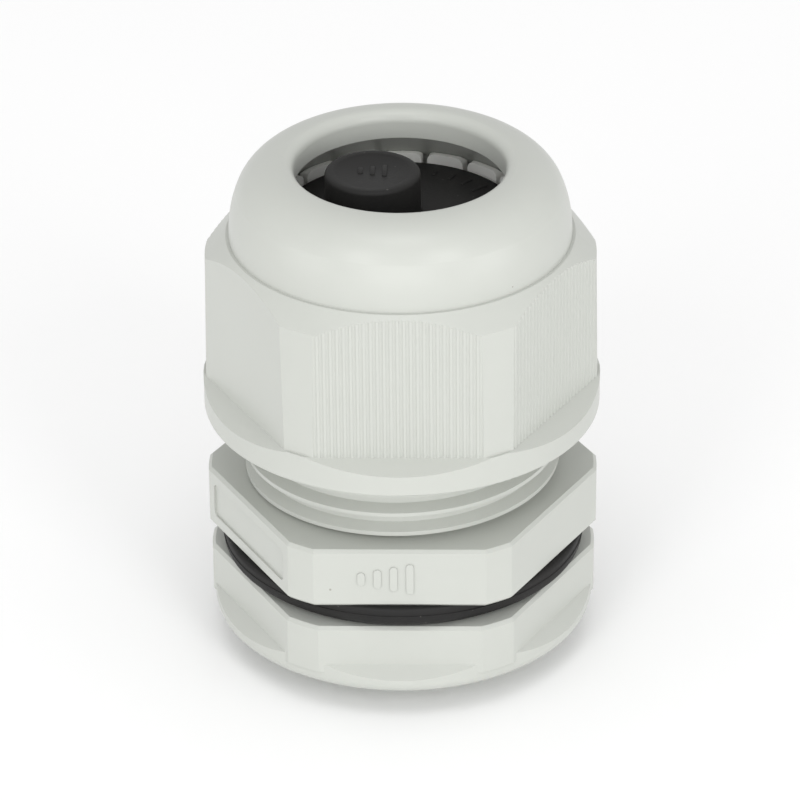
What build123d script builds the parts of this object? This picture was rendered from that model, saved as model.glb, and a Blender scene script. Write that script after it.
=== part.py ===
from build123d import *
from math import atan2, cos, degrees, radians, sin, tan
import os

# Cable gland with a male pipe-thread spigot. Millimetres, +Z up, origin on the axis at the
# spigot's lower end. The dome nut is run down by hand, so two turns of the neck thread show.

# ---- Driving dimensions -------------------------------------------------------------------

# hexagons of the body and both nuts
spanner_size = 33.0
corner_cut = 0.75  # turned off each sharp corner
hex_corner_rounding = 0.4
hex_rim_chamfer = 0.3
ledge_rise = 0.9  # from a round flange or collar, the plastic slopes up to the flats

# body
spigot_length = 11.0
spigot_crest_radius = 13.22  # G 3/4 male thread, 26.44 across its crests
spigot_pitch = 1.814
spigot_thread_depth = 1.16
spigot_wall = 2.0
body_hex_height = 6.0
neck_crest_radius = 14.8
neck_pitch = 2.0
neck_thread_depth = 1.1
neck_thread_crossing = 1.3  # where its crest crosses the +X side, above the hexagon
neck_length = 15.1
thread_runout = 1.0  # both threads end this far short of the body's ends
neck_wall = 1.3
mouth_depth = 4.6  # the mouth is the wide end of the bore, which guides the cage
mouth_seat = 2.4  # width of the step at the mouth's foot

# gasket and lock nut
gasket_overhang = 0.6  # beyond the flats
gasket_thickness = 2.3
gasket_rounding = 0.25
lock_nut_height = 6.5
lock_nut_corner_cut = 0.9
collar_inset = 0.2  # inside the lock nut's corners
collar_height = 1.6
collar_rounding = 1.2

# dome nut
nut_standoff = 6.9  # between the body's hexagon and the nut's flange
flange_overhang = 0.2  # beyond the corners
flange_height = 2.1
flange_rounding = 0.3
dome_inset = 0.7  # the dome leaves the hexagon this far inside the flats
crease_ledge = 0.3  # a narrow step round the dome's foot
dome_wall = 0.4  # upright foot of the dome
dome_rise = 7.3
dome_shoulder_radius = 10.6  # the arc that leaves the foot
corner_lean = 0.25  # the hexagon's corners lean in by this much
throat_radius = 9.7
throat_rounding = 1.0
throat_length = 2.6
cone_slope = 1.0  # the cone that presses the fingers gains this much radius per height
nut_entry_chamfer = 1.2
rib_pitch = 0.6
rib_groove_radius = 0.22
rib_groove_depth = 0.1
ribs_per_flat = 26

# clamping cage, seal and plug
finger_count = 18
finger_thickness = 1.0
finger_slot = 0.55
finger_height = 9.2
tip_bevel = 0.5  # the tips are bevelled to the cone over this height
finger_corner_rounding = 0.7
finger_reach = 0.6  # gap to the seal that the fingers close
finger_room = 0.6  # gap to the nut's bore
snap_bite = 0.15  # the cage's flange is this much larger than the nut's thread
cage_flange_thickness = 1.0
cage_wall = 1.0
cage_skirt_length = 4.3
cage_ledge = 0.9  # the inward ledge that carries the seal
seal_below_tips = 0.5
seal_rounding = 0.3
plug_radius = 4.4
plug_offset = -2.5  # the plug's hole is off the axis
plug_proud = 4.6
plug_foot_gap = 1.0  # from the plug's foot down to the seal's lower face

# panels and marks
panel_depth = 0.2
panel_border = 1.3
mark_height = 0.12
mark_width = 0.7
mark_pitch = 1.5
mark_shift = -1.3
mark_count = 4

# fits
thread_clearance = 0.12
thread_play = 0.15  # between one thread's root and the other's crest
running_clearance = 0.1
plug_clearance = 0.05
seal_clearance = 0.2
captive_gap = 0.1  # above and below the cage's flange in the nut's groove
tightening_travel = 1.0  # how far the nut can still be turned down
film_gap = 0.02  # under each finger's edge, where its film hinge bends

# ---- Sizes that follow --------------------------------------------------------------------

flat_distance = spanner_size / 2
sharp_corner = flat_distance / cos(radians(30))
hex_corner_radius = sharp_corner - corner_cut
lock_nut_corner_radius = sharp_corner - lock_nut_corner_cut
collar_radius = lock_nut_corner_radius - collar_inset
flange_radius = hex_corner_radius + flange_overhang
gasket_radius = flat_distance + gasket_overhang
dome_base_radius = flat_distance - dome_inset

spigot_root_radius = spigot_crest_radius - spigot_thread_depth
neck_root_radius = neck_crest_radius - neck_thread_depth
mouth_radius = neck_root_radius - neck_wall
cable_bore_radius = min(mouth_radius - mouth_seat, spigot_root_radius - spigot_wall)
nut_thread_radius = neck_root_radius + thread_play

body_hex_bottom = spigot_length
body_hex_top = body_hex_bottom + body_hex_height
body_hex_middle = body_hex_bottom + body_hex_height / 2
neck_top = body_hex_top + neck_length
gasket_bottom = body_hex_bottom - gasket_thickness
lock_nut_bottom = gasket_bottom - lock_nut_height

cage_flange_radius = nut_thread_radius + snap_bite
cage_flange_bottom = neck_top + tightening_travel + 2 * captive_gap
cage_flange_top = cage_flange_bottom + cage_flange_thickness
cage_bottom = cage_flange_bottom - cage_skirt_length
cage_skirt_radius = mouth_radius - running_clearance
cage_inner_radius = cage_skirt_radius - cage_wall
seal_radius = cage_inner_radius - seal_clearance
seal_bottom = cage_bottom + cage_wall
finger_inner_radius = seal_radius + finger_reach
finger_outer_radius = finger_inner_radius + finger_thickness
finger_tip = cage_flange_top + finger_height
seal_top = finger_tip - seal_below_tips

# the nut's cone touches the fingers where their bevel starts, and the throat stands on the cone
nut_bottom = body_hex_top + nut_standoff
nut_bore_radius = finger_outer_radius + finger_room
cone_touch = finger_tip - tip_bevel
cone_top = cone_touch + (finger_outer_radius + running_clearance - throat_radius) / cone_slope
cone_bottom = cone_top - (nut_bore_radius - throat_radius) / cone_slope
nut_top = cone_top + throat_length
dome_base = nut_top - dome_rise

os.makedirs("parts", exist_ok=True)


def save(part, name):
    part.label = name
    export_step(part, f"parts/{name}.step")


# ---- Shapes that several pieces share -----------------------------------------------------


def hexagon(corner_radius):
    """A spanner hexagon with two flats facing +Y and -Y and with turned corners."""
    with BuildSketch() as outline:
        RegularPolygon(flat_distance, 6, major_radius=False)
        Circle(corner_radius, mode=Mode.INTERSECT)
        fillet(outline.vertices(), hex_corner_rounding)
    return outline.sketch


def flat_plane(angle, height):
    """The plane of the flat that faces angle, centred at height, with its y axis upright."""
    outward = Vector(cos(radians(angle)), sin(radians(angle)), 0)
    across = Vector(-sin(radians(angle)), cos(radians(angle)), 0)
    return Plane(outward * flat_distance + Vector(0, 0, height), x_dir=across, z_dir=outward)


def sloped_flange(radius, bottom, rim_height, bore=0.0):
    """A round flange whose top slopes up from its rim to the feet of the six flats."""
    top = bottom + rim_height + ledge_rise
    foot_distance = flat_distance - running_clearance
    spread = (radius - foot_distance) / ledge_rise * (top - bottom)
    with BuildPart() as flange:
        with BuildSketch(Plane.XY.offset(bottom)):
            RegularPolygon(foot_distance + spread, 6, major_radius=False)
        with BuildSketch(Plane.XY.offset(top)):
            RegularPolygon(foot_distance, 6, major_radius=False)
        loft()
        with BuildSketch(Plane.XY.offset(bottom)):
            Circle(radius)
            if bore > 0:
                Circle(bore, mode=Mode.SUBTRACT)
        extrude(amount=top - bottom, mode=Mode.INTERSECT)
    return flange.part


def thread(root_radius, crest_radius, pitch, crossing, low, high, clearance=0.0):
    """A right-hand ridge from low to high, whose crest crosses the +X side at crossing.
    A clearance fattens it, so the same call cuts the groove that it runs in."""
    start = crossing - ((crossing - low) // pitch + 2) * pitch
    turns = (high - start) // pitch + 2
    root = root_radius - thread_play
    crest = crest_radius + clearance
    half_root = pitch * 0.38 + clearance
    half_crest = pitch * 0.1 + clearance
    with BuildPart() as ridge:
        with BuildLine():
            Helix(pitch, turns * pitch, root_radius, center=(0, 0, start))
        with BuildSketch(Plane.XZ):
            with BuildLine():
                Polyline(
                    (root, start - half_root),
                    (crest, start - half_crest),
                    (crest, start + half_crest),
                    (root, start + half_root),
                    close=True,
                )
            make_face()
        sweep(is_frenet=True)
        with BuildSketch(Plane.XY.offset(low)):
            Circle(crest + pitch)
        extrude(amount=high - low, mode=Mode.INTERSECT)
    return ridge.part


# ---- Body: spigot, hexagon and neck in one moulding ---------------------------------------

with BuildPart() as gland_body:
    with BuildSketch(Plane.XY.offset(body_hex_bottom)):
        add(hexagon(hex_corner_radius))
    extrude(amount=body_hex_height)
    chamfer(gland_body.faces().filter_by(Axis.Z).edges(), hex_rim_chamfer)
    # recessed panels in two opposite flats
    flat_width = 2 * flat_distance * tan(radians(30))
    for angle in (-150, 30):
        with BuildSketch(flat_plane(angle, body_hex_middle)):
            RectangleRounded(flat_width - 4 * panel_border, body_hex_height - 2 * panel_border, 0.5)
        extrude(amount=-panel_depth, mode=Mode.SUBTRACT)
    # a size mark of upright bars that grow from left to right
    with BuildSketch(flat_plane(-90, body_hex_middle)):
        for index in range(mark_count):
            with Locations(((index - 1.5) * mark_pitch + mark_shift, 0)):
                SlotOverall(1.4 + 0.6 * index, mark_width, rotation=90)
    extrude(amount=mark_height)
    # cores of the neck and the spigot
    with BuildSketch(Plane.XY.offset(body_hex_top)):
        Circle(neck_root_radius)
    extrude(amount=neck_length)
    with BuildSketch():
        Circle(spigot_root_radius)
    extrude(amount=spigot_length)
    neck_crossing = body_hex_top + neck_thread_crossing
    neck_thread_end = neck_top - thread_runout
    add(thread(neck_root_radius, neck_crest_radius, neck_pitch, neck_crossing, body_hex_top, neck_thread_end))
    add(
        thread(
            spigot_root_radius,
            spigot_crest_radius,
            spigot_pitch,
            body_hex_bottom,
            thread_runout,
            body_hex_bottom,
        )
    )
    # cable bore, and the mouth that guides the cage
    with BuildSketch():
        Circle(cable_bore_radius)
    extrude(amount=neck_top, mode=Mode.SUBTRACT)
    with BuildSketch(Plane.XY.offset(neck_top)):
        Circle(mouth_radius)
    extrude(amount=-mouth_depth, mode=Mode.SUBTRACT)
save(gland_body.part, "gland_body")

# ---- Gasket and lock nut on the spigot ----------------------------------------------------

with BuildPart() as gasket:
    with BuildSketch(Plane.XY.offset(gasket_bottom)):
        Circle(gasket_radius)
    extrude(amount=gasket_thickness)
    fillet(gasket.faces().filter_by(Axis.Z).edges(), gasket_rounding)
    with Locations((0, 0, body_hex_bottom)):
        Hole(spigot_crest_radius + running_clearance)
save(gasket.part, "gasket")

with BuildPart() as lock_nut:
    with BuildSketch(Plane.XY.offset(lock_nut_bottom + collar_height)):
        add(hexagon(lock_nut_corner_radius))
    extrude(amount=lock_nut_height - collar_height)
    chamfer(lock_nut.faces().sort_by(Axis.Z)[-1].edges(), hex_rim_chamfer)
    add(sloped_flange(collar_radius, lock_nut_bottom, collar_height))
    fillet(lock_nut.faces().sort_by(Axis.Z)[0].edges(), collar_rounding)
    with Locations((0, 0, gasket_bottom)):
        Hole(spigot_root_radius + thread_play)
    lock_groove = thread(
        spigot_root_radius,
        spigot_crest_radius,
        spigot_pitch,
        body_hex_bottom,
        lock_nut_bottom - spigot_pitch,
        gasket_bottom + spigot_pitch,
        thread_clearance,
    )
    volume_before = lock_nut.part.volume
    add(lock_groove, mode=Mode.SUBTRACT)
    assert lock_nut.part.volume < volume_before - 1, "the spigot's thread wasn't cut in the lock nut"
save(lock_nut.part, "lock_nut")

# ---- Dome nut -----------------------------------------------------------------------------

shoulder_bottom = dome_base + dome_wall
shoulder_center = dome_base_radius - dome_shoulder_radius
lip_center = throat_radius + throat_rounding
lip_run = lip_center - shoulder_center
lip_climb = nut_top - shoulder_bottom
# radius of the arc that leaves the shoulder smoothly and ends level at the mouth
lip_radius = (dome_shoulder_radius**2 - lip_run**2 - lip_climb**2) / (2 * (dome_shoulder_radius - lip_climb))
shoulder_turn = degrees(atan2(lip_climb - lip_radius, lip_run))
crease_radius = dome_base_radius + crease_ledge
corner_top_radius = hex_corner_radius - corner_lean
entry_radius = nut_thread_radius + nut_entry_chamfer
rib_groove_distance = flat_distance + rib_groove_radius - rib_groove_depth
groove_radius = cage_flange_radius + thread_play
groove_bottom = cage_flange_bottom - captive_gap
groove_top = cage_flange_top + captive_gap

with BuildPart() as dome_nut:
    # Outside, the corners lean in, and a 45 degree cone takes them down to a narrow ledge where
    # the dome of two arcs stands. Inside come the throat, the cone that presses the fingers, the
    # bore, the cage's groove, the thread land and the entry.
    with BuildSketch(Plane.XZ):
        with BuildLine():
            outside = Polyline(
                (entry_radius, nut_bottom),
                (hex_corner_radius, nut_bottom),
                (corner_top_radius, dome_base - corner_top_radius + crease_radius),
                (crease_radius, dome_base),
                (dome_base_radius, dome_base),
                (dome_base_radius, shoulder_bottom),
            )
            shoulder = JernArc(outside @ 1, (0, 1), dome_shoulder_radius, shoulder_turn)
            lip = JernArc(shoulder @ 1, shoulder % 1, lip_radius, 90 - shoulder_turn)
            throat_edge = JernArc(lip @ 1, (-1, 0), throat_rounding, 90)
            Polyline(
                throat_edge @ 1,
                (throat_radius, cone_top),
                (nut_bore_radius, cone_bottom),
                (nut_bore_radius, groove_top),
                (groove_radius, groove_top),
                (groove_radius, groove_bottom),
                (nut_thread_radius, groove_bottom),
                (nut_thread_radius, nut_bottom + nut_entry_chamfer),
                (entry_radius, nut_bottom),
            )
        make_face()
    revolve(axis=Axis.Z)
    volume_before = dome_nut.part.volume
    neck_groove = thread(
        neck_root_radius,
        neck_crest_radius,
        neck_pitch,
        neck_crossing,
        nut_bottom - neck_pitch / 2,
        groove_bottom - thread_runout / 2,
        thread_clearance,
    )
    add(neck_groove, mode=Mode.SUBTRACT)
    assert dome_nut.part.volume < volume_before - 1, "the neck's thread wasn't cut in the dome nut"
    # hexagon with fine upright grooves in four of its flats
    with BuildSketch(Plane.XY.offset(nut_bottom)):
        add(hexagon(hex_corner_radius))
        for angle in (-90, -30, 90, 150):
            outward = Vector(cos(radians(angle)), sin(radians(angle)))
            across = Vector(-sin(radians(angle)), cos(radians(angle)))
            for index in range(ribs_per_flat):
                aside = (index + 0.5 - ribs_per_flat / 2) * rib_pitch
                with Locations(outward * rib_groove_distance + across * aside):
                    Circle(rib_groove_radius, mode=Mode.SUBTRACT)
    extrude(amount=nut_top - nut_bottom, mode=Mode.INTERSECT)
    add(sloped_flange(flange_radius, nut_bottom, flange_height, (entry_radius + flat_distance) / 2))
    foot_edges = dome_nut.faces().sort_by(Axis.Z)[0].edges()
    flange_rim = foot_edges.filter_by(lambda edge: abs(edge.radius - flange_radius) < 0.01)
    fillet(flange_rim, flange_rounding)
save(dome_nut.part, "dome_nut")

# ---- Clamping cage: a captive ring with fingers on film hinges ----------------------------

with BuildPart() as cage_ring:
    with BuildSketch(Plane.XZ):
        with BuildLine():
            Polyline(
                (cage_inner_radius - cage_ledge, cage_bottom),
                (cage_skirt_radius, cage_bottom),
                (cage_skirt_radius, cage_flange_bottom),
                (cage_flange_radius, cage_flange_bottom),
                (cage_flange_radius, cage_flange_top),
                (cage_inner_radius, cage_flange_top),
                (cage_inner_radius, seal_bottom),
                (cage_inner_radius - cage_ledge, seal_bottom),
                close=True,
            )
        make_face()
    revolve(axis=Axis.Z)
save(cage_ring.part, "cage_ring")

finger_middle_radius = (finger_inner_radius + finger_outer_radius) / 2
finger_span = 360 / finger_count - degrees(finger_slot / finger_middle_radius)
finger_foot = cage_flange_top + film_gap
finger_heel = finger_foot + finger_thickness / 2 * tan(radians(5))
tip_outer_radius = finger_outer_radius - tip_bevel * cone_slope

with BuildPart() as finger:
    with BuildSketch(Plane.XZ.rotated((0, 0, -finger_span / 2))):
        with BuildLine():
            Polyline(
                (finger_middle_radius, finger_foot),
                (finger_outer_radius, finger_heel),
                (finger_outer_radius, cone_touch),
                (tip_outer_radius, finger_tip),
                (finger_inner_radius, finger_tip),
                (finger_inner_radius, finger_heel),
                close=True,
            )
        make_face()
    revolve(axis=Axis.Z, revolution_arc=finger_span)
    tip_corners = finger.faces().sort_by(Axis.Z)[-1].edges().filter_by(GeomType.LINE)
    fillet(tip_corners, finger_corner_rounding)

for index in range(finger_count):
    with BuildPart() as clamping_finger:
        add(finger.part, rotation=(0, 0, 360 / finger_count * (index + 0.5)))
    save(clamping_finger.part, f"clamping_finger_{index + 1:02d}")

# ---- Seal and its pull-out plug -----------------------------------------------------------

with BuildPart() as seal_insert:
    with BuildSketch(Plane.XY.offset(seal_bottom)):
        Circle(seal_radius)
    extrude(amount=seal_top - seal_bottom)
    fillet(seal_insert.faces().sort_by(Axis.Z)[-1].edges(), seal_rounding)
    with Locations((plug_offset, 0, seal_top)):
        Hole(plug_radius + plug_clearance)
save(seal_insert.part, "seal_insert")

with BuildPart() as seal_plug:
    with BuildSketch(Plane.XY.offset(seal_bottom + plug_foot_gap)):
        with Locations((plug_offset, 0)):
            Circle(plug_radius)
    extrude(amount=seal_top + plug_proud - seal_bottom - plug_foot_gap)
    fillet(seal_plug.faces().filter_by(Axis.Z).edges(), seal_rounding)
save(seal_plug.part, "seal_plug")
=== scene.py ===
# %% [markdown]
# # A cable gland, from a fixed CAD frame to a finished picture
#
# A cable gland carries a cable through the wall of a box and keeps water out. The CAD model
# already has its hard parts in the right places: body, dome nut, lock nut and a cage of
# fingers. This lesson loads that frame, gives the mouldings a plastic that looks moulded, and
# models the three rubber parts anew, because rubber shows most in its rounded edges, its mould
# lines and its dusty black.

# %% Load the frame
from math import cos, hypot, radians, sin

import bpy
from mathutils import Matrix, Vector


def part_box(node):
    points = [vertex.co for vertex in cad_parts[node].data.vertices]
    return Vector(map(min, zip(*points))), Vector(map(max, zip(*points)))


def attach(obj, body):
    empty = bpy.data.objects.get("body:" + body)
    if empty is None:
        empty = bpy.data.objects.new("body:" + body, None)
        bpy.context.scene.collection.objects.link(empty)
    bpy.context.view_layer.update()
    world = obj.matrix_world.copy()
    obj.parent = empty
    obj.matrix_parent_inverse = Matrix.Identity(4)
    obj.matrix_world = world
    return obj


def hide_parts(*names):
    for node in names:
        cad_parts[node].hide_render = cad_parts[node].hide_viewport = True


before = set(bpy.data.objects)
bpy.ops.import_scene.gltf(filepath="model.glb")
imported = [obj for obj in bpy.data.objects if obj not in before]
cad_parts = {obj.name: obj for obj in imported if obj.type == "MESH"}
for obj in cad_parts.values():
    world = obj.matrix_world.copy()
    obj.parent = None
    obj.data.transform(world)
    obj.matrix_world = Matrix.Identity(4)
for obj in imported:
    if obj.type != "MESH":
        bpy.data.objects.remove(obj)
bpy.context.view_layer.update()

MM = 0.001

# %% [markdown]
# ## Camera
#
# A small product is photographed from a little less than half a metre with a long lens, so
# that upright edges stay nearly parallel. The camera looks down by 29 degrees: the opening
# shows what is inside, and the flats still show their height.

# %% Camera
camera_data = bpy.data.cameras.new("camera")
camera_data.lens = 218
camera_data.sensor_width = 36
camera_roll = -0.55
camera = bpy.data.objects.new("camera", camera_data)
bpy.context.scene.collection.objects.link(camera)
camera.location = (0.00895, -0.3942, 0.2487)
aim = Vector((-0.00011, -0.00352, 0.02551))
turn = (aim - camera.location).to_track_quat("-Z", "Y")
camera.rotation_euler = turn.to_euler()
camera.rotation_euler.rotate_axis("Z", radians(camera_roll))
bpy.context.scene.camera = camera
print("camera is", round((camera.location - aim).length, 3), "m away")

# %% [markdown]
# ## Floor and light
#
# Pale plastic on white needs large, soft lamps: two above and in front, three low ones that
# reach under the flanges, one overhead that looks into the opening, and a bright, even
# surround. Small lamps would put hard shadows between the thread's turns. The floor is a plain
# pale disc with an inset rim, far larger than the view, so that no edge of it shows.

# %% Helpers for edit mode
def start_alone():
    """Leaves edit mode and deselects everything, because an operator acts on all that is selected."""
    if bpy.context.object and bpy.context.object.mode != "OBJECT":
        bpy.ops.object.mode_set(mode="OBJECT")
    bpy.ops.object.select_all(action="DESELECT")


def make_active(piece):
    start_alone()
    piece.select_set(True)
    bpy.context.view_layer.objects.active = piece


def pick(piece, kind, wanted):
    """In edit mode, selects just the verts, edges or faces whose middle, and normal, pass a test."""
    bpy.ops.object.mode_set(mode="OBJECT")
    mesh = piece.data
    for group in (mesh.vertices, mesh.edges, mesh.polygons):
        group.foreach_set("select", [False] * len(group))
    count = 0
    if kind == "FACE":
        for face in mesh.polygons:
            face.select = wanted(face.center, face.normal)
            count += face.select
    if kind == "EDGE":
        for edge in mesh.edges:
            first = mesh.vertices[edge.vertices[0]].co
            second = mesh.vertices[edge.vertices[1]].co
            edge.select = wanted(first, second)
            count += edge.select
    if kind == "VERT":
        for vertex in mesh.vertices:
            vertex.select = wanted(vertex.co)
            count += vertex.select
    bpy.ops.object.mode_set(mode="EDIT")
    bpy.ops.mesh.select_mode(type=kind)
    return count


# %% Floor
start_alone()
floor_radius = 1.5
floor_drop = 0.4 * MM
bpy.ops.mesh.primitive_circle_add(
    vertices=96, radius=floor_radius, fill_type="NGON", location=(0, 0, -floor_drop)
)
floor = bpy.context.object
floor.name = "floor"
bpy.ops.object.transform_apply(location=True)
bpy.ops.object.mode_set(mode="EDIT")
bpy.ops.mesh.inset(thickness=0.2)
bpy.ops.object.mode_set(mode="OBJECT")
print("floor is", round(floor.dimensions.x, 2), "m across")

# %% Lamps and surround
def lamp(name, place, width, height, watts):
    """A rectangular lamp that points at the middle of the object."""
    light = bpy.data.lights.new(name, "AREA")
    light.shape = "RECTANGLE"
    light.size = width
    light.size_y = height
    light.energy = watts
    holder = bpy.data.objects.new(name, light)
    bpy.context.scene.collection.objects.link(holder)
    holder.location = place
    towards = lamps_aim - holder.location
    holder.rotation_euler = towards.to_track_quat("-Z", "Y").to_euler()


lamps_aim = Vector((0, 0, 25 * MM))
lamp("upper left lamp", (-0.4, -0.8, 0.55), 0.28, 0.5, 1.5)
lamp("upper right lamp", (0.5, -0.8, 0.55), 0.28, 0.5, 1.8)
lamp("low front lamp", (0.0, -1.0, 0.16), 0.8, 0.28, 2.0)
lamp("low left lamp", (-0.87, -0.5, 0.1), 0.6, 0.3, 1.1)
lamp("low right lamp", (0.87, -0.5, 0.1), 0.6, 0.3, 1.5)
lamp("top lamp", (0.0, -0.3, 1.0), 0.5, 0.4, 1.3)
world = bpy.data.worlds.new("surround")
bpy.context.scene.world = world
world.use_nodes = True
surround = world.node_tree.nodes["Background"]
surround.inputs["Color"].default_value = (1, 1, 1, 1)
surround.inputs["Strength"].default_value = 0.78
bpy.context.scene.view_settings.view_transform = "Standard"

# %% [markdown]
# ## Writing a material as sums
#
# A finish is easier to read as a formula than as a web of nodes. One small class wraps a
# node's output, so that `1 - mask` adds a Math node. Colours and vectors go through Mix and
# Vector Math nodes, because a Math node turns a colour grey.

# %% Values and finishes
class Value:
    """The output of a node. A sum of values adds Math nodes to the same material."""

    def __init__(self, finish, socket):
        self.finish = finish
        self.socket = socket

    def math(self, operation, first, second):
        return self.finish.node("Math", {"operation": operation}, {0: first, 1: second})

    def __add__(self, other):
        return self.math("ADD", self, other)

    def __radd__(self, other):
        return self.math("ADD", other, self)

    def __sub__(self, other):
        return self.math("SUBTRACT", self, other)

    def __rsub__(self, other):
        return self.math("SUBTRACT", other, self)

    def __mul__(self, other):
        return self.math("MULTIPLY", self, other)

    def __rmul__(self, other):
        return self.math("MULTIPLY", other, self)

    def __lt__(self, other):
        return self.math("LESS_THAN", self, other)


class Finish:
    """A material under construction, with one method that adds any node."""

    def __init__(self, name):
        self.material = bpy.data.materials.new(name)
        self.material.use_nodes = True
        self.nodes = self.material.node_tree.nodes
        self.links = self.material.node_tree.links
        self.shader = self.nodes["Principled BSDF"]

    def node(self, kind, settings, sockets, output=0):
        """Adds a node by its type, then its settings, then the values or links of its sockets."""
        made = self.nodes.new("ShaderNode" + kind)
        for name, setting in settings.items():
            setattr(made, name, setting)
        for name, value in sockets.items():
            if isinstance(value, Value):
                self.links.new(value.socket, made.inputs[name])
            else:
                made.inputs[name].default_value = value
        return Value(self, made.outputs[output])

    def noise(self, scale, detail=2.0, shift=(0, 0, 0)):
        """Noise between about 0.3 and 0.7, with its size given as features per metre."""
        place = self.node("TexCoord", {}, {}, "Object")
        place = self.node("Mapping", {}, {"Vector": place, "Location": shift})
        return self.node("TexNoise", {}, {"Vector": place, "Scale": scale, "Detail": detail})

    def specks(self, scale, radius, share, shift=(0, 0, 0)):
        """1 inside rare round specks, else 0. The share is that of the cells that have one."""
        place = self.node("TexCoord", {}, {}, "Object")
        place = self.node("Mapping", {}, {"Vector": place, "Location": shift})
        cells = self.node("TexVoronoi", {}, {"Vector": place, "Scale": scale}, "Distance")
        shade = Value(self, cells.socket.node.outputs["Color"])
        chance = self.node("SeparateColor", {}, {"Color": shade}, 0)
        return (cells < radius) * (chance < share)

    def blend(self, mask, first, second):
        """The first colour where the mask is 0, and the second where it is 1."""
        colours = {"Factor": mask, 6: first, 7: second}
        return self.node("Mix", {"data_type": "RGBA"}, colours, 2)

    def into(self, socket, value):
        self.links.new(value.socket, self.shader.inputs[socket])


print("helpers ready")

# %% [markdown]
# ## Moulded polyamide
#
# The hard parts are light grey polyamide from a steel mould. It isn't a flat colour: it
# clouds faintly where the melt cooled at different speeds, its skin has the fine grain of the
# mould, a burnt speck shows here and there, and a few grains of dust lie on it. A Bevel node
# softens every sharp edge by a fraction of a millimetre, as on any moulding, with no change to
# the mesh. The gloss varies a little, but the roughness stays above 0.28 all over: a finish
# that crosses about 0.27 shows patches once the picture is denoised.

# %% Polyamide
def polyamide(name, light, dark, roughness, grain, edge):
    finish = Finish(name)
    clouds = finish.noise(90, 3.0)
    fine_clouds = finish.noise(420, 2.0, shift=(0.3, 0.1, 0.2))
    tone = clouds * 0.7 + fine_clouds * 0.3
    colour = finish.blend(tone, dark, light)
    dust = finish.specks(1400, 0.09, 0.05, shift=(0.7, 0.4, 0.1))
    colour = finish.blend(dust * 0.10, colour, (0.36, 0.35, 0.31, 1))
    burnt = finish.specks(300, 0.035, 0.10)
    colour = finish.blend(burnt * 0.55, colour, (0.16, 0.13, 0.10, 1))
    finish.into("Base Color", colour)
    rough = roughness + (fine_clouds - 0.5) * 0.1 + dust * 0.08
    finish.into("Roughness", rough)
    soft = finish.node("Bevel", {"samples": 4}, {"Radius": edge})
    skin = finish.noise(5200, 2.0)
    bump = finish.node("Bump", {}, {"Strength": grain, "Distance": 0.01 * MM, "Height": skin, "Normal": soft})
    finish.into("Normal", bump)
    finish.shader.inputs["IOR"].default_value = 1.5
    return finish.material


edge_rounding = 0.06 * MM
light_grey = (0.508, 0.522, 0.488, 1)
darker_grey = (0.474, 0.487, 0.452, 1)
natural = (0.88, 0.88, 0.85, 1)
darker_natural = (0.82, 0.82, 0.78, 1)
grey_nylon = polyamide("light grey polyamide", light_grey, darker_grey, 0.34, 0.35, edge_rounding)
pale_nylon = polyamide("natural polyamide", natural, darker_natural, 0.36, 0.4, edge_rounding)
print("polyamide finishes ready")

# %% Put the polyamide on the hard parts
for name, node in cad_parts.items():
    if name.startswith("clamping_finger") or name == "cage_ring":
        finish = pale_nylon
    else:
        finish = grey_nylon
    for slot in node.material_slots:
        slot.material = finish
print("polyamide on", len(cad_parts), "nodes")

# %% [markdown]
# ## Rubber
#
# The seal, its plug and the gasket are black rubber. Black rubber isn't black: it scatters a
# little light as a grey bloom, it holds specks of pale dust, and its skin is duller and
# coarser than the plastic's.

# %% Rubber
def rubber(name, roughness):
    finish = Finish(name)
    bloom = finish.noise(260, 3.0)
    colour = finish.blend(bloom, (0.006, 0.006, 0.006, 1), (0.016, 0.015, 0.014, 1))
    dust = finish.specks(900, 0.10, 0.05) + finish.specks(2100, 0.14, 0.04, shift=(0.5, 0.2, 0.1))
    colour = finish.blend(dust * 0.3, colour, (0.20, 0.19, 0.18, 1))
    finish.into("Base Color", colour)
    finish.into("Roughness", roughness + (bloom - 0.5) * 0.25 + dust * 0.2)
    skin = finish.noise(3600, 3.0) + bloom * 0.4
    bump = finish.node("Bump", {}, {"Strength": 0.6, "Distance": 0.03 * MM, "Height": skin})
    finish.into("Normal", bump)
    finish.shader.inputs["IOR"].default_value = 1.38
    return finish.material


black_rubber = rubber("black rubber", 0.62)
print("rubber finish ready")

# %% [markdown]
# ## Shaping a round rubber part
#
# Each of the three is round, so each starts as circles. Bridging two circles gives a ring with
# a hole that may be off the axis, and extruding it step by step gives every change of width a
# loop of its own. That is how a turner thinks: one station along the axis after another.

# %% Ring and column helpers
def ring(name, outer, inner, inner_place, floor_level, points):
    """A flat ring of two bridged circles, left in edit mode with its one band of faces selected."""
    start_alone()
    bpy.ops.mesh.primitive_circle_add(vertices=points, radius=outer, location=(0, 0, floor_level))
    piece = bpy.context.object
    piece.name = name
    bpy.ops.object.transform_apply(location=True)
    bpy.ops.object.mode_set(mode="EDIT")
    bpy.ops.mesh.primitive_circle_add(vertices=points, radius=inner, location=inner_place)
    bpy.ops.mesh.select_all(action="SELECT")
    bpy.ops.mesh.bridge_edge_loops()
    return piece


def raise_by(height):
    """Extrudes what is selected straight up."""
    bpy.ops.mesh.extrude_region_move(TRANSFORM_OT_translate={"value": (0, 0, height)})


def widen(piece, level, outer, new_radius):
    """Scales only the outer circle at a level to a new radius."""
    near = lambda place: abs(place.z - level) < 1e-6 and abs(hypot(place.x, place.y) - outer) < 1e-5
    pick(piece, "VERT", near)
    ratio = new_radius / outer
    bpy.ops.transform.resize(value=(ratio, ratio, 1), center_override=(0, 0, level))


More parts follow.
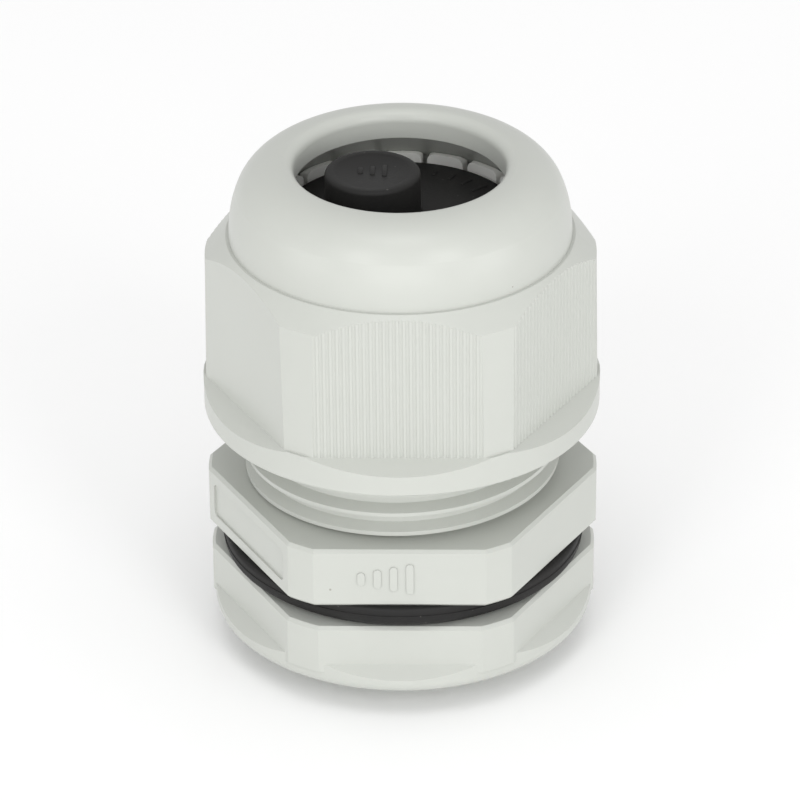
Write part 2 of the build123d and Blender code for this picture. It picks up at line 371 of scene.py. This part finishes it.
def finish_piece(piece, material, body, node, angle):
    """Closes the seams, smooths all but sharp edges, ties the piece to its body and hides the CAD node it
    stands in for.
    """
    make_active(piece)
    bpy.ops.object.mode_set(mode="EDIT")
    bpy.ops.mesh.select_all(action="SELECT")
    bpy.ops.mesh.remove_doubles(threshold=1e-6)
    bpy.ops.mesh.normals_make_consistent(inside=False)
    bpy.ops.object.mode_set(mode="OBJECT")
    bpy.ops.object.shade_smooth_by_angle(angle=radians(angle))
    piece.data.materials.clear()
    piece.data.materials.append(material)
    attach(piece, body)
    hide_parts(node)
    size = [round(value / MM, 2) for value in piece.dimensions]
    print(piece.name, "is", size, "mm,", len(piece.data.polygons), "faces")


# %% [markdown]
# ### Gasket
#
# The gasket is a flat rubber ring between the body and the lock nut. Its rim slopes in at the
# foot, where the lock nut squeezes it. It was moulded in two halves, so a thin bead of flash
# runs round the rim. The ring is extruded in steps, and the circles at some of the steps are
# then made wider or narrower.

# %% Gasket
low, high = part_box("gasket")
gasket_radius = high.x
bore_radius = 13.32 * MM
bead = 0.08 * MM
gasket = ring("rubber_gasket", gasket_radius - bead, bore_radius, (0, 0, low.z), low.z, 160)
slope_height = 0.72 * MM
slope_width = 1.06 * MM
bead_half = 0.04 * MM
middle = (low.z + slope_height + high.z) / 2
bead_levels = [middle + step * bead_half for step in (-2, -1, 1, 2)]
levels = [low.z + slope_height] + bead_levels
for lower, upper in zip([low.z] + levels, levels + [high.z]):
    raise_by(upper - lower)
for level in (middle - bead_half, middle + bead_half):
    widen(gasket, level, gasket_radius - bead, gasket_radius)
widen(gasket, low.z, gasket_radius - bead, gasket_radius - slope_width)


def on_rim(first, second):
    flat = abs(first.z - second.z) < 1e-7
    at_corner = min(abs(first.z - levels[0]), abs(first.z - high.z)) < 1e-6
    outside = min(hypot(first.x, first.y), hypot(second.x, second.y)) > gasket_radius - 0.2 * MM
    return flat and at_corner and outside


print("rim edges:", pick(gasket, "EDGE", on_rim))
bpy.ops.mesh.bevel(offset=0.3 * MM, segments=4, affect="EDGES")
finish_piece(gasket, black_rubber, "gasket", "gasket", 50)

# %% [markdown]
# ### Seal
#
# The seal is a thick rubber bush that the fingers squeeze onto the cable. Its hole is off the
# axis, where the plug sits. Its top edges are rounded, so a shallow groove runs round the plug,
# and a few small raised bars stand near the rim, as a plain size mark.

# %% Seal
low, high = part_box("seal_insert")
seal_radius = high.x
plug_low, plug_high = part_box("seal_plug")
plug_radius = (plug_high.x - plug_low.x) / 2
plug_x = (plug_high.x + plug_low.x) / 2
hole_radius = plug_radius + 0.05 * MM
seal = ring("rubber_seal", seal_radius, hole_radius, (plug_x, 0, low.z), low.z, 128)
raise_by(high.z - low.z)


def top_circles(first, second):
    level = min(first.z, second.z) > high.z - 1e-6
    from_axis = [hypot(end.x, end.y) for end in (first, second)]
    from_plug = [hypot(end.x - plug_x, end.y) for end in (first, second)]
    outer = min(from_axis) > seal_radius - 0.01 * MM
    inner = max(from_plug) < hole_radius + 0.01 * MM
    return level and (outer or inner)


print("top edges:", pick(seal, "EDGE", top_circles))
bpy.ops.mesh.bevel(offset=0.35 * MM, segments=4, affect="EDGES")

# %% Size mark on the seal
start_alone()
bars = []
for index in range(4):
    angle = radians(70 - 11 * index)
    middle = Vector((cos(angle), sin(angle), 0)) * 9.0 * MM
    bpy.ops.mesh.primitive_cube_add(size=1, location=(middle.x, middle.y, high.z), rotation=(0, 0, angle))
    bar = bpy.context.object
    bar.scale = ((1.0 + 0.25 * index) * MM, 0.35 * MM, 0.2 * MM)
    bpy.ops.object.transform_apply(location=True, rotation=True, scale=True)
    bpy.ops.object.mode_set(mode="EDIT")
    bpy.ops.mesh.select_all(action="SELECT")
    bpy.ops.mesh.bevel(offset=0.08 * MM, segments=3, affect="EDGES")
    bpy.ops.object.mode_set(mode="OBJECT")
    bars.append(bar)
start_alone()
for bar in bars:
    bar.select_set(True)
seal.select_set(True)
bpy.context.view_layer.objects.active = seal
bpy.ops.object.join()
finish_piece(seal, black_rubber, "clamping_cage", "seal_insert", 40)

# %% [markdown]
# ### Plug
#
# The plug is a rubber pin that closes the hole until a cable comes through, and it stands
# proud so that it can be pulled. Its top has a rounded rim, a shallow dished middle and a
# small raised mark, and its foot is chamfered to go in easily.

# %% Plug
start_alone()
plug_height = plug_high.z - plug_low.z
bpy.ops.mesh.primitive_circle_add(
    vertices=96, radius=plug_radius - 0.5 * MM, fill_type="NGON", location=(plug_x, 0, plug_low.z)
)
plug = bpy.context.object
plug.name = "rubber_plug"
bpy.ops.object.transform_apply(location=True)
bpy.ops.object.mode_set(mode="EDIT")
bpy.ops.mesh.select_all(action="SELECT")
centre = (plug_x, 0, 0)
wide = plug_radius / (plug_radius - 0.5 * MM)
raise_by(0.9 * MM)
bpy.ops.transform.resize(value=(wide, wide, 1), center_override=centre)
raise_by(plug_height - 0.9 * MM)


def plug_rim(first, second):
    return min(first.z, second.z) > plug_high.z - 1e-6


print("rim edges:", pick(plug, "EDGE", plug_rim))
bpy.ops.mesh.bevel(offset=0.4 * MM, segments=4, affect="EDGES")
pick(plug, "FACE", lambda place, normal: normal.z > 0.99 and place.z > plug_high.z - 1e-6)
bpy.ops.mesh.inset(thickness=0.5 * MM)
bpy.ops.mesh.inset(thickness=0.15 * MM, depth=-0.12 * MM)

# %% Mark on the plug
bpy.ops.object.mode_set(mode="OBJECT")
marks = [plug]
for index in range(3):
    start_alone()
    place = (plug_x + (index - 1) * 1.1 * MM, 0.2 * MM, plug_high.z - 0.12 * MM)
    bpy.ops.mesh.primitive_cube_add(size=1, location=place)
    bar = bpy.context.object
    bar.scale = (0.45 * MM, (1.2 + 0.5 * index) * MM, 0.2 * MM)
    bpy.ops.object.transform_apply(location=True, rotation=True, scale=True)
    bpy.ops.object.mode_set(mode="EDIT")
    bpy.ops.mesh.select_all(action="SELECT")
    bpy.ops.mesh.bevel(offset=0.08 * MM, segments=2, affect="EDGES")
    bpy.ops.object.mode_set(mode="OBJECT")
    marks.append(bar)
start_alone()
for piece in marks:
    piece.select_set(True)
bpy.context.view_layer.objects.active = plug
bpy.ops.object.join()
finish_piece(plug, black_rubber, "seal_plug", "seal_plug", 40)

# %% [markdown]
# ## Floor finish
#
# A plain, pale, matt floor. A faint cloudiness keeps it from looking like a hole in the
# picture.

# %% Floor finish
ground = Finish("pale floor")
paper = ground.noise(6, 2.0)
ground.into("Base Color", ground.blend(paper, (0.96, 0.96, 0.96, 1), (0.98, 0.98, 0.98, 1)))
ground.into("Roughness", 0.8 + (paper - 0.5) * 0.1)
floor.data.materials.append(ground.material)
